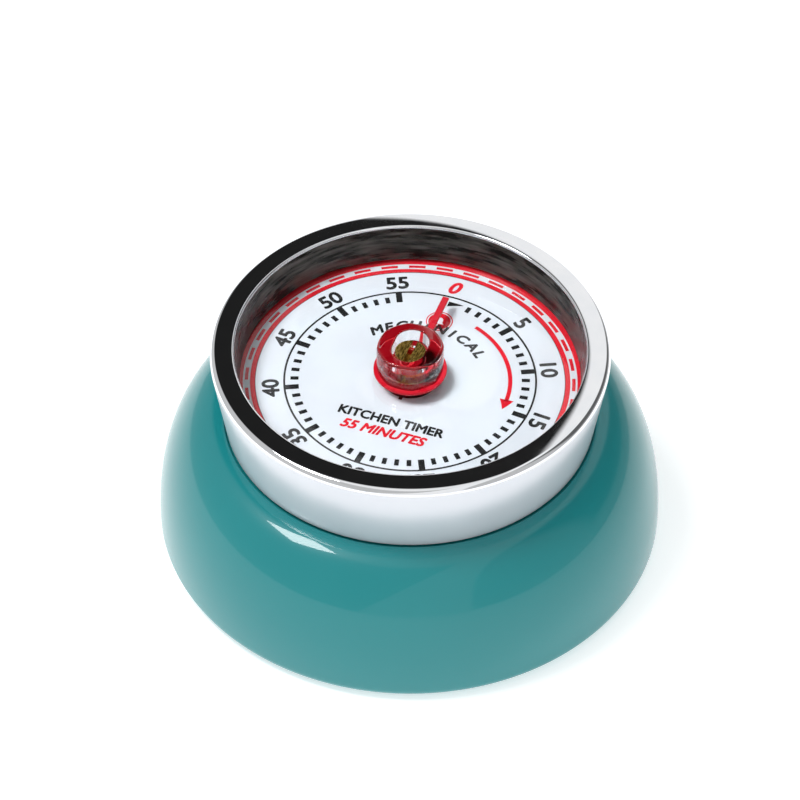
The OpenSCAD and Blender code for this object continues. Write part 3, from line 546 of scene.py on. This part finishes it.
# %% [markdown]
# ## The clear knob
#
# The knob is moulded in clear acrylic: a short stub with eight soft facets and a well in
# its top, where the brass arbor shows. Facets and a well could be cut with Booleans. But
# the knob is still a turned piece whose radius depends on the angle as well, so one grid
# gives the facets, the well and the bore together, with even faces for the light to bend
# through.

# %% Mould the knob
knob_low, knob_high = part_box("knob")
knob_r, knob_z, knob_top = knob_high.x / MM, knob_low.z / MM, knob_high.z / MM
bore_r, facets, flatness, break_edge = 2.12, 8, 0.3, 0.1
well_half, well_run, well_depth = 2.3, 0.8, 2.1
edge_round, lip_round = 0.4, 0.2


def knob_surface(sides=240):
    """Column j of the grid is an outline point whose radius depends on the angle a. The
    outside is r (1 - flatness (1 - cos(half a facet) / cos(angle from the facet's
    middle))). The well is an obround: half its width / |sin a| along its straight sides,
    and beyond them the far crossing with the circle that ends it. The bore is a circle."""
    a = np.linspace(0, 2 * np.pi, sides, endpoint=False)[:, None]
    half_facet = np.pi / facets
    from_middle = (a + half_facet) % (2 * half_facet) - half_facet
    stub = knob_r * (1 - (1 - np.cos(half_facet) / np.cos(from_middle)) * flatness)
    straight = well_half / np.maximum(np.abs(np.sin(a)), 1e-6)
    beyond = np.sqrt(np.maximum(well_half ** 2 - (well_run * np.sin(a)) ** 2, 0))
    on_straight = straight * np.abs(np.cos(a)) <= well_run
    well = np.where(on_straight, straight, well_run * np.abs(np.cos(a)) + beyond)
    bore = bore_r + 0 * a
    turn = np.linspace(0, np.pi / 2, 9)
    s, c = 1 - np.sin(turn), 1 - np.cos(turn)
    r = [bore, stub - break_edge, stub, stub - edge_round * c, well + lip_round * s]
    r += [well, well - break_edge, bore]
    floor_z = knob_top - well_depth
    z = [knob_z, knob_z, knob_z + break_edge, *(knob_top - edge_round * s)]
    z += [*(knob_top - lip_round * c), floor_z + break_edge, floor_z, floor_z]
    r, z = np.concatenate(r, 1), np.array(z)[None] + 0 * a
    return np.stack([r * np.sin(a), r * np.cos(a), z], -1)


knob = piece("clear_knob", [sheet(knob_surface())], "knob_set", "knob")

# %% [markdown]
# ## The pointer
#
# The pointer is punched from brass sheet and lacquered red: a disc with a hole, and one
# straight finger. It could be a disc and a bar joined, but they would leave a seam in the
# lacquer. As one outline it is cut the way the real one is, with its edges just broken.

# %% Punch the pointer
pointer_low, pointer_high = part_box("pointer")
disc_r, reach = pointer_high.x / MM, pointer_high.y / MM
finger_half, pointer_edge = 0.45, 0.06
finger_side = math.degrees(math.asin(finger_half / disc_r))
disc = polar(disc_r, np.linspace(finger_side, 360 - finger_side, 150))
finger = [[-finger_half, reach], [finger_half, reach]]
hole = polar(bore_r, np.linspace(0, 360, 64, endpoint=False))
plate = [np.concatenate([disc, finger]), hole]
stamping = punched(plate, pointer_low.z / MM, pointer_high.z / MM, pointer_edge)
pointer = piece("red_pointer", [stamping], "knob_set", "pointer")

# %% [markdown]
# ## How a finish is made
#
# Each finish starts from what it really is and how its surface was made. Image textures
# would need unwrapping, and would repeat. A noise read from the object's own coordinates
# has a size in millimetres on every piece. Colours are picked as screen colours and turned
# into light by one function, and one small function adds a node.

# %% Turn screen colours into light, and add nodes
def light(code):
    """A screen colour such as #40a5aa as linear light: c / 12.92 below 0.04045, and
    ((c + 0.055) / 1.055) ^ 2.4 above it."""
    c = np.array([int(code[k:k + 2], 16) for k in (1, 3, 5)]) / 255
    return (*np.where(c <= 0.04045, c / 12.92, ((c + 0.055) / 1.055) ** 2.4), 1.0)


def add(tree, kind, inputs={}, **settings):
    """Adds one node. Settings are its own, and each input is a value or another node's socket."""
    node = tree.nodes.new(kind)
    for name, value in settings.items():
        setattr(node, name, value)
    for name, value in inputs.items():
        if isinstance(value, bpy.types.NodeSocket):
            tree.links.new(value, node.inputs[name])
        else:
            node.inputs[name].default_value = value
    return node


print("a middle grey screen colour is", round(float(light("#808080")[0]), 3), "as light")

# %% Mix one finish
def mixed(name, colours, roughness, grain_mm, stretch=(1, 1, 1), bump_mm=0.0, contrast=(0.35, 0.65),
          **sockets):
    """A finish whose colour and roughness wander between two values over a noise of one
    grain, stretched along an axis where the real surface was drawn or brushed. What is
    the same all over, such as Metallic, is set on the shader itself."""
    material = bpy.data.materials.new(name)
    material.use_nodes = True
    tree = material.node_tree
    shader = tree.nodes["Principled BSDF"]
    for socket, value in sockets.items():
        shader.inputs[socket.replace("_", " ")].default_value = value
    place = add(tree, "ShaderNodeTexCoord").outputs["Object"]
    place = add(tree, "ShaderNodeMapping", {"Vector": place, "Scale": stretch}).outputs["Vector"]
    grain = {"Vector": place, "Scale": 1 / (grain_mm * MM), "Detail": 4.0}
    noise = add(tree, "ShaderNodeTexNoise", grain).outputs["Fac"]
    spread = {"Value": noise, "From Min": contrast[0], "From Max": contrast[1]}
    share = add(tree, "ShaderNodeMapRange", spread).outputs["Result"]
    blend = {"Factor": share, "A": light(colours[0]), "B": light(colours[1])}
    colour = add(tree, "ShaderNodeMix", blend, data_type="RGBA").outputs["Result"]
    tree.links.new(colour, shader.inputs["Base Color"])
    spread |= {"To Min": roughness[0], "To Max": roughness[1]}
    rough = add(tree, "ShaderNodeMapRange", spread).outputs["Result"]
    tree.links.new(rough, shader.inputs["Roughness"])
    if bump_mm:
        relief = {"Height": noise, "Distance": bump_mm * MM, "Strength": 1.0}
        normal = add(tree, "ShaderNodeBump", relief).outputs["Normal"]
        tree.links.new(normal, shader.inputs["Normal"])
    return material


def let_lamps_through(material):
    """Clear plastic would throw a black shadow, because light bent by it isn't followed to
    the lamp. For shadow rays alone the shader is swapped for a plain transparent one."""
    tree = material.node_tree
    shader = tree.nodes["Principled BSDF"].outputs["BSDF"]
    clear = add(tree, "ShaderNodeBsdfTransparent", {"Color": (0.92, 0.94, 0.94, 1)}).outputs["BSDF"]
    shadow = add(tree, "ShaderNodeLightPath").outputs["Is Shadow Ray"]
    mix = add(tree, "ShaderNodeMixShader", {0: shadow, 1: shader, 2: clear}).outputs["Shader"]
    tree.links.new(mix, tree.nodes["Material Output"].inputs["Surface"])


print("a finish mixes two colours and two roughnesses over one noise")

# %% [markdown]
# ## The finishes of the outside
# From the outside the timer is enamel, chrome, glass, acrylic, lacquer and ink, with a
# moulded cover and a magnet underneath. Skirt and rim are both chromed. The rim is
# polished to a mirror. The skirt gets a pale, partly diffuse base colour as a painted
# reflection of the white floor, with faint painted shade in streaks up it, so they are
# two finishes.

# %% Mix the enamel and the bright metals
finishes = {
    # Sheet steel sprayed and stoved: a deep even colour under a hard gloss with sharp lights.
    "enamel": mixed(
        "teal_stoved_enamel", ("#148589", "#188b8f"), (0.3, 0.34), 30.0, contrast=(0.1, 0.9),
        Specular_IOR_Level=0.2, Coat_Weight=0.7, Coat_Roughness=0.03),
    # Plated over polished brass: a mirror, hardly clouded by wiping.
    "chrome": mixed(
        "polished_chrome", ("#eceef1", "#f1f2f4"), (0.03, 0.06), 3.0, Metallic=1.0),
    # Chromed like the rim. Its pale, partly diffuse base colour is a painted reflection
    # of the white floor, and its faint streaks running up the skirt are painted shade.
    "satin": mixed(
        "chrome_with_painted_white_reflection", ("#dfe2e9", "#e8eaf0"), (0.18, 0.24), 5.0, stretch=(1, 1, 0.3),
        contrast=(0.1, 0.9), Metallic=0.35),
    # Bare sheet spun on a lathe: dark, with long streaks round the axis. The real streaks
    # are finer than a hair, and are drawn far coarser so that they show.
    "brushed": mixed(
        "raw_spun_steel", ("#242220", "#67635e"), (0.22, 0.42), 5.0, stretch=(1, 1, 9),
        bump_mm=0.02, Metallic=1.0),
}
print("finishes so far:", ", ".join(finishes))

# %% Mix the glass, the plastics, the lacquers and the inks
finishes |= {
    # A cut pane of float glass: clear, with a faint even reflection.
    "lens": mixed(
        "clear_glass_pane", ("#ffffff", "#fcfeff"), (0.0, 0.02), 6.0,
        Transmission_Weight=1.0, IOR=1.52),
    # Injection moulded acrylic: clear, bending what lies below it, a little uneven.
    "acrylic": mixed(
        "clear_moulded_acrylic", ("#ffffff", "#fdfefe"), (0.0, 0.03), 2.0,
        Transmission_Weight=1.0, IOR=1.49),
    # Rolled lacquer on aluminium: flat cool white.
    "dial": mixed(
        "white_dial_lacquer", ("#dde2ea", "#e4e8ef"), (0.35, 0.45), 6.0, Specular_IOR_Level=0.15),
    # Screen printing ink: matt, a little uneven in depth.
    "black_ink": mixed(
        "black_screen_ink", ("#171617", "#242325"), (0.45, 0.6), 1.0, Specular_IOR_Level=0.15),
    "red_ink": mixed(
        "red_screen_ink", ("#d81426", "#e21a2e"), (0.45, 0.6), 1.0, Specular_IOR_Level=0.15),
    # Lacquer on punched brass: bright and glossy.
    "red": mixed(
        "red_lacquered_brass", ("#e6122c", "#ee1a34"), (0.25, 0.35), 2.0, Specular_IOR_Level=0.3),
    # Injection moulded ABS: a fine spark-eroded grain that breaks up the light. It is
    # drawn a few times coarser than the real one, so that it shows.
    "abs": mixed(
        "black_moulded_abs", ("#1b1c1e", "#232427"), (0.42, 0.6), 0.4, bump_mm=0.01),
    # Pressed and sintered ferrite, its face ground flat: dull charcoal with pores.
    "ferrite": mixed(
        "ground_ferrite", ("#2a2b2e", "#3a3b3f"), (0.45, 0.65), 0.3, bump_mm=0.01),
}
for see_through in ("lens", "acrylic"):
    let_lamps_through(finishes[see_through])
print("finishes so far:", ", ".join(finishes))

# %% [markdown]
# ## The finishes of the movement
#
# The closed case hides the movement, but the arbor shows through the knob, and whoever
# opens the model should find real metals: plated steel that is rolled, barrelled or
# turned, brass cut on an automatic lathe, and springs blued by tempering. Each is a metal,
# so only its colour, its roughness and the run of its grain differ.

# %% Mix the finishes of the movement
finishes |= {
    # Barrel plated zinc: pale grey, softly uneven.
    "zinc": mixed(
        "zinc_plated_steel", ("#b7bcc0", "#c9cdd1"), (0.22, 0.36), 1.2, Metallic=1.0),
    # Cold rolled plate: long faint rolling marks.
    "plate": mixed(
        "cold_rolled_plate_steel", ("#9b9d9f", "#b1b3b4"), (0.25, 0.4), 1.5,
        stretch=(1, 12, 1), Metallic=1.0),
    # Drawn and nickel plated: smooth and a little darker.
    "bell": mixed(
        "plated_bell_steel", ("#a9abad", "#bdbfc0"), (0.15, 0.25), 3.0, Metallic=1.0),
    # Turned free-cutting brass: fine rings and scratches left by the tool.
    "brass": mixed(
        "turned_brass", ("#a8842f", "#d3b061"), (0.18, 0.32), 0.16,
        stretch=(1, 0.25, 3), Metallic=1.0),
    # Turned and polished steel: fine rings along its length.
    "steel": mixed(
        "turned_movement_steel", ("#85888b", "#9da0a3"), (0.2, 0.35), 0.8,
        stretch=(1, 1, 8), Metallic=1.0),
    # Hardened strip, tempered to blue.
    "spring": mixed(
        "blued_spring_steel", ("#3c4659", "#56617a"), (0.22, 0.36), 1.0, Metallic=1.0),
}
print(len(finishes), "finishes in all")

# %% [markdown]
# ## Which piece is made of what
#
# One list says what every piece and every solid of the movement is made of. Each could be
# given its finish where it is made, but a single list is easier to check against the
# parts list of a real timer. The solids that a piece stands for get the same finish as
# the piece, so the hidden ones match too.

# %% Give every piece and node its finish
made_of = {
    "enamel": ["case_shell", "housing"],
    "chrome": ["spun_bezel", "bezel"],
    "brushed": ["inner_ring", "retaining_ring", "lens_spacer"],
    "lens": ["flat_lens", "lens"],
    "acrylic": ["clear_knob", "knob"],
    "dial": ["dial_disc", "dial"],
    "black_ink": ["black_print"],
    "red_ink": ["red_print"],
    "red": ["red_pointer", "pointer"],
    "abs": ["back_cover"],
    "ferrite": ["magnet"],
    "zinc": [
        "cover_screws", "magnet_keeper", "magnet_rivet", "pillars", "pillar_screws",
        "movement_screws", "bell_screw", "spring_post",
    ],
    "plate": ["front_plate", "back_plate"],
    "bell": ["bell"],
    "brass": [
        "front_bush", "bell_post", "winding_arbor", "great_wheel", "second_wheel",
        "third_wheel", "fourth_wheel", "escape_wheel", "balance_bar", "hammer_head",
    ],
    "steel": [
        "ratchet_wheel", "release_cam", "great_wheel_clip", "click_pin", "click",
        "second_pinion", "third_pinion", "fourth_pinion", "escape_pinion", "strike_pinion",
        "strike_wheel", "pallet_arbor", "pallet_lever", "hammer_arbor", "hammer_lever",
    ],
    "spring": ["mainspring", "click_spring", "hammer_spring"],
}
for finish, names in made_of.items():
    for name in names:
        thing = bpy.data.objects.get(name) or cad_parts[name]
        for holder in thing.material_slots:
            holder.material = finishes[finish]
        if not thing.material_slots:
            thing.data.materials.append(finishes[finish])
print("finished", sum(map(len, made_of.values())), "pieces and nodes")

# %% Give the skirt its own finish
# The skirt's pale base colour is a painted reflection of the white floor.
bezel.data.materials.append(finishes["satin"])
bezel.data.polygons.foreach_set("material_index", on_skirt.astype(np.int32))

# %% [markdown]
# ## Floor
#
# The timer lies on white paper that is lit from behind as well, as on a light table. That
# keeps the paper white right up to the case. A plain white sheet would need far more lamp
# light, which would wash the enamel out. From below the paper is clear, so the magnet and
# the cover can be looked at too.

# %% Lay the floor
half_floor = 4
corners = [(-half_floor, -half_floor, 0), (half_floor, -half_floor, 0),
           (half_floor, half_floor, 0), (-half_floor, half_floor, 0)]
floor_mesh = bpy.data.meshes.new("floor")
floor_mesh.from_pydata(corners, [], [(0, 1, 2, 3)])
floor = bpy.data.objects.new("floor", floor_mesh)
scene.collection.objects.link(floor)

paper = bpy.data.materials.new("pale_floor")
paper.use_nodes = True
tree = paper.node_tree
shader = tree.nodes["Principled BSDF"]
shader.inputs["Base Color"].default_value = light("#f4f5f6")
shader.inputs["Roughness"].default_value = 0.9
shader.inputs["Emission Color"].default_value = (1, 1, 1, 1)
shader.inputs["Emission Strength"].default_value = 0.5
under = add(tree, "ShaderNodeNewGeometry").outputs["Backfacing"]
clear = add(tree, "ShaderNodeBsdfTransparent").outputs["BSDF"]
sides = {0: under, 1: shader.outputs["BSDF"], 2: clear}
both = add(tree, "ShaderNodeMixShader", sides).outputs["Shader"]
tree.links.new(both, tree.nodes["Material Output"].inputs["Surface"])
floor_mesh.materials.append(paper)
print("the floor is", 2 * half_floor, "m across")

# %% [markdown]
# ## Light
#
# Chrome shows nothing of its own, only the room, so the room is drawn for it. It could be
# built of cards and lamps, but a world of soft grey walls has no edges to hide. It is
# described in directions turned with the portrait: X to its right, Y away, Z up. A dark
# card at the far side turns the rim black, and where the card ends the rim turns white.
# The far side is also what the flat lens reflects, so the card keeps the dial clear. One
# soft box high on the left throws the knob's shadow to the right.

# %% Draw the room
world = bpy.data.worlds.new("studio")
scene.world = world
world.use_nodes = True
tree = world.node_tree
direction = add(tree, "ShaderNodeTexCoord").outputs["Generated"]
turn = {"Vector": direction, "Axis": (0, 0, 1), "Angle": -float(azimuth)}
direction = add(tree, "ShaderNodeVectorRotate", turn, rotation_type="AXIS_ANGLE").outputs["Vector"]
axis = add(tree, "ShaderNodeSeparateXYZ", {"Vector": direction}).outputs


def sums(operation, inputs):
    """The value of one sum, such as MAXIMUM, over its inputs."""
    return add(tree, "ShaderNodeMath", inputs, operation=operation).outputs["Value"]


def ramp(value, start, end, low, high):
    """A straight ramp between two values, held flat outside them."""
    inputs = {"Value": value, "From Min": start, "From Max": end, "To Min": low, "To Max": high}
    return add(tree, "ShaderNodeMapRange", inputs).outputs["Result"]


card_edge = sums("MULTIPLY_ADD", {0: axis["Z"], 1: -0.6236, 2: axis["X"]})
beside_card = ramp(card_edge, -0.372, -0.348, 0.015, 0.95)
right_end = ramp(axis["X"], 0.42, 0.5, 0.95, 0.12)
left_wall = ramp(axis["X"], -0.36, -0.46, 0.0, 0.6)
low_wall = ramp(axis["Z"], 0.32, 0.2, 0.0, 0.45)
ceiling = ramp(axis["Z"], 0.88, 0.95, 0.0, 0.9)
near_wall = ramp(axis["Y"], 0.1, -0.1, 0.0, 0.55)

level = sums("MINIMUM", {0: beside_card, 1: right_end})
for wall_level in (left_wall, low_wall, ceiling, near_wall):
    level = sums("MAXIMUM", {0: level, 1: wall_level})
tree.links.new(level, tree.nodes["Background"].inputs["Color"])
tree.nodes["Background"].inputs["Strength"].default_value = 1.0
print("the room is made of", len(tree.nodes), "nodes")

# %% Hang the soft box
key_place, lit_point = np.array([-400.0, -140.0, 900.0]), np.array([0.0, 0.0, 15.0])
key_size, key_watts = 260, 3.6
key_data = bpy.data.lights.new("key", "AREA")
key_data.size, key_data.energy = key_size * MM, key_watts
key = bpy.data.objects.new("key", key_data)
scene.collection.objects.link(key)
key.location = key_place * MM
key.rotation_mode = "QUATERNION"
key.rotation_quaternion = Vector((lit_point - key_place).tolist()).to_track_quat("-Z", "Y")
scene.view_settings.view_transform = "Standard"
print("the soft box hangs", round(float(np.linalg.norm(key_place - lit_point))), "mm away")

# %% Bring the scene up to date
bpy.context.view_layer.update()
